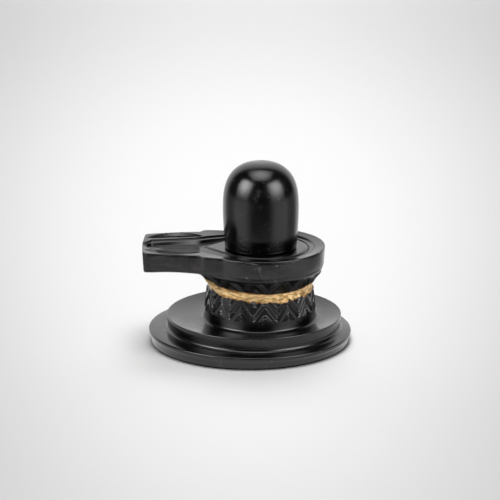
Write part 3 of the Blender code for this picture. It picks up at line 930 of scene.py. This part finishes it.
def gold_paint(item):
    """Stores where each corner lies between the paint's lower and upper edge."""
    corners = corners_of(item)
    angle = np.degrees(np.arctan2(corners[:, 0] - DRUM_OFFSET, -corners[:, 1]))
    for name, levels in (("paint_low", GOLD_LOW), ("paint_high", GOLD_HIGH)):
        layer = item.data.attributes.new(name, "FLOAT", "POINT")
        above = corners[:, 2] - paint_level(angle, levels)
        layer.data.foreach_set("value", above / GOLD_UNIT)


def gold_mask(tree, place):
    """1 on the brushed gold paint, with the distance to its nearer edge."""
    ragged = noise(tree, place, RAGGED_SCALE, 3.0, 0.6)
    drips = noise(tree, place, DRIP_SCALE, 1.0)
    swing = plus(tree, times(tree, ragged, RAGGED_SWING), times(tree, drips, DRIP_SWING))
    swing = math_node(tree, "SUBTRACT", swing, SWING_MIDDLE)
    slight = times(tree, math_node(tree, "SUBTRACT", ragged, 0.5), HIGH_SWING)
    over = plus(tree, attribute(tree, "paint_low"), swing)
    under = math_node(tree, "SUBTRACT", slight, attribute(tree, "paint_high"))
    inside = math_node(tree, "MINIMUM", over, under)
    return math_node(tree, "GREATER_THAN", inside, 0.0), inside


# Studio


def area_light(name, turn, rise, reach, width, height, radiance, hot_spot):
    """Softbox seen from the object in a direction, facing it, brighter at its hot spot."""
    data = bpy.data.lights.new(name, "AREA")
    data.shape = "RECTANGLE"
    data.size = width
    data.size_y = height
    data.energy = radiance * width * height * LIGHT_GAIN
    data.use_nodes = True
    tree = data.node_tree
    spot = tree.nodes.new("ShaderNodeNewGeometry").outputs["Parametric"]
    away = tree.nodes.new("ShaderNodeVectorMath")
    away.operation = "DISTANCE"
    tree.links.new(spot, away.inputs[0])
    away.inputs[1].default_value = (*hot_spot, 0.0)
    fade = ramp(tree, away.outputs["Value"], HOT_INNER, HOT_OUTER, 1.0, HOT_REST)
    tree.links.new(fade, tree.nodes["Emission"].inputs["Strength"])
    item = bpy.data.objects.new(name, data)
    bpy.context.collection.objects.link(item)
    side = math.radians(turn)
    up = math.radians(rise)
    level = math.cos(up)
    way = np.array([math.sin(side) * level, -math.cos(side) * level, math.sin(up)])
    item.location = np.array(LIGHT_TARGET) + way * reach
    item.rotation_euler = (math.pi / 2 - up, 0.0, side)
    item.visible_camera = False
    return item


def floor_painted_falloff_material():
    """Pale floor with painted shade and painted light: its colour darkens evenly towards the
    corners of the view as a painted vignette, and is lifted where the lamps light it less.
    """
    material = bpy.data.materials.new("studio_floor_painted_falloff")
    material.use_nodes = True
    tree = material.node_tree
    shader = tree.nodes["Principled BSDF"]
    place = tree.nodes.new("ShaderNodeTexCoord").outputs["Object"]
    split = tree.nodes.new("ShaderNodeSeparateXYZ")
    tree.links.new(place, split.inputs["Vector"])
    depth = math_node(tree, "ADD", split.outputs["Y"], FLOOR_FAN)
    wide = math_node(tree, "DIVIDE", split.outputs["X"], depth)
    wide = math_node(tree, "DIVIDE", wide, FLOOR_WIDE)
    slope = math_node(tree, "DIVIDE", FLOOR_RISE, depth)
    slope = math_node(tree, "SUBTRACT", slope, FLOOR_MIDDLE)
    deep = math_node(tree, "DIVIDE", slope, FLOOR_DEEP)
    wide_part = times(tree, wide, wide)
    deep_part = times(tree, deep, deep)
    away = math_node(tree, "SQRT", plus(tree, wide_part, deep_part))
    # Painted vignette: darker away from the middle of the view
    tone = ramp(tree, away, 0.35, 1.75, 0.965, 0.635)
    # Painted light: lighter towards the near and far edges of the view, most at the far back,
    # where the lamps light the floor less
    far = math_node(tree, "MAXIMUM", times(tree, deep, -1.0), 0.0)
    far_part = times(tree, math_node(tree, "POWER", far, FLOOR_PAINTED_LIGHT_FAR_POWER), FLOOR_PAINTED_LIGHT_FAR)
    painted_light_lift = plus(tree, times(tree, deep_part, FLOOR_PAINTED_LIGHT_BOW), far_part)
    base = times(tree, tone, plus(tree, painted_light_lift, FLOOR_TONE))
    tree.links.new(base, shader.inputs["Base Color"])
    shader.inputs["Roughness"].default_value = FLOOR_ROUGHNESS
    shader.inputs["Specular IOR Level"].default_value = 0.0
    return material


def flat_piece(name, height, material):
    half = STUDIO_HALF
    corners = [(-half, -half), (half, -half), (half, half), (-half, half)]
    mesh = bpy.data.meshes.new(name)
    mesh.from_pydata([(x, y, height) for x, y in corners], [], [(0, 1, 2, 3)])
    mesh.materials.append(material)
    item = bpy.data.objects.new(name, mesh)
    bpy.context.collection.objects.link(item)
    return item


def build_studio():
    flat_piece("studio_floor_painted_falloff", 0.0, floor_painted_falloff_material())
    # Glowing sheet that is no lamp, seen only in reflections: a painted reflection of the ground
    reflection_card = flat_piece("studio_painted_reflection_card", REFLECTION_CARD_LIFT, painted_reflection_material())
    reflection_card.visible_camera = False
    reflection_card.visible_diffuse = False
    reflection_card.visible_shadow = False
    reflection_card.visible_transmission = False
    for name, turn, rise, width, radiance, hot in (
        ("softbox_left", -60, 26, 0.74, 7.3, 0.66),
        ("softbox_right", 54, 24, 0.82, 5.6, 0.64),
    ):
        box = area_light(name, turn, rise, 0.9, width, 0.80, radiance, (0.5, hot))
        box.visible_diffuse = False
    top = area_light("softbox_top", 180, 85, 0.85, 0.76, 0.80, 3.4, (0.5, 0.5))
    top.location = TOP_PLACE
    top.rotation_euler = (0.0, 0.0, 0.0)
    for name, rise, radiance in (("fill_back", 52, 9.0), ("fill_top", 88, 7.5)):
        fill = area_light(name, 180, rise, 1.2, 0.8, 0.6, radiance, (0.5, 0.5))
        fill.visible_glossy = False

    world = bpy.data.worlds.new("studio")
    bpy.context.scene.world = world
    world.use_nodes = True
    tree = world.node_tree
    way = tree.nodes.new("ShaderNodeTexCoord").outputs["Generated"]
    split = tree.nodes.new("ShaderNodeSeparateXYZ")
    tree.links.new(way, split.inputs["Vector"])
    level = ramp(tree, split.outputs["Y"], 0.45, 0.75, 0.06, 1.08)
    background = tree.nodes["Background"]
    tree.links.new(level, background.inputs["Strength"])
    background.inputs["Color"].default_value = (1.0, 1.0, 1.0, 1.0)


def painted_reflection_material():
    """Painted reflection: a glowing sheet with the brightness of the ground as the object
    mirrors it, dimmed at the sides, with a painted dark room in front.
    """
    material = bpy.data.materials.new("studio_painted_reflection_card")
    material.use_nodes = True
    tree = material.node_tree
    tree.nodes.remove(tree.nodes["Principled BSDF"])
    place = tree.nodes.new("ShaderNodeTexCoord").outputs["Object"]
    split = tree.nodes.new("ShaderNodeSeparateXYZ")
    tree.links.new(place, split.inputs["Vector"])
    length = tree.nodes.new("ShaderNodeVectorMath")
    length.operation = "LENGTH"
    tree.links.new(place, length.inputs[0])
    reach = length.outputs["Value"]
    back = math_node(tree, "DIVIDE", split.outputs["Y"], reach)
    wide = ramp(tree, back, -1.0, -0.7, 1.02, 0.95)
    near = ramp(tree, reach, 0.110, 0.140, 1.0, 0.0)
    # Painted shade in the reflections: a dark room in front and dimmer sides
    front = ramp(tree, back, -0.97, -0.66, 0.12, 1.0)
    side = times(tree, ramp(tree, back, -0.25, 0.15), ramp(tree, back, 0.45, 0.75, 1.0, 0.0))
    far_level = math_node(tree, "SUBTRACT", front, times(tree, side, REFLECTION_SIDE_DIM))
    rest = math_node(tree, "SUBTRACT", 1.0, near)
    level = plus(tree, times(tree, near, wide), times(tree, rest, far_level))
    glow = tree.nodes.new("ShaderNodeEmission")
    tree.links.new(level, glow.inputs["Strength"])
    tree.links.new(glow.outputs["Emission"], tree.nodes["Material Output"].inputs["Surface"])
    return material


def build_camera():
    data = bpy.data.cameras.new("camera")
    data.sensor_width = CAMERA_SENSOR
    data.lens = CAMERA_LENS
    data.clip_end = CAMERA_REACH
    item = bpy.data.objects.new("camera", data)
    bpy.context.collection.objects.link(item)
    item.location = CAMERA_PLACE
    item.rotation_euler = (CAMERA_TILT, 0.0, 0.0)
    bpy.context.scene.camera = item


scene = bpy.context.scene
scene.view_settings.view_transform = "Standard"
scene.view_settings.look = "None"
stone = black_stone("black_cast_stone", STONE_COLOR, STONE_ROUGHNESS, matte=True)
gilt_stone = black_stone("black_cast_stone_gilt", STONE_COLOR, STONE_ROUGHNESS, banded=True)
shaft_stone = black_stone("black_cast_stone_shaft", SHAFT_COLOR, SHAFT_ROUGHNESS, smeared=True)
build_stand(gilt_stone)
build_dish(stone)
build_shaft(shaft_stone)
build_studio()
build_camera()
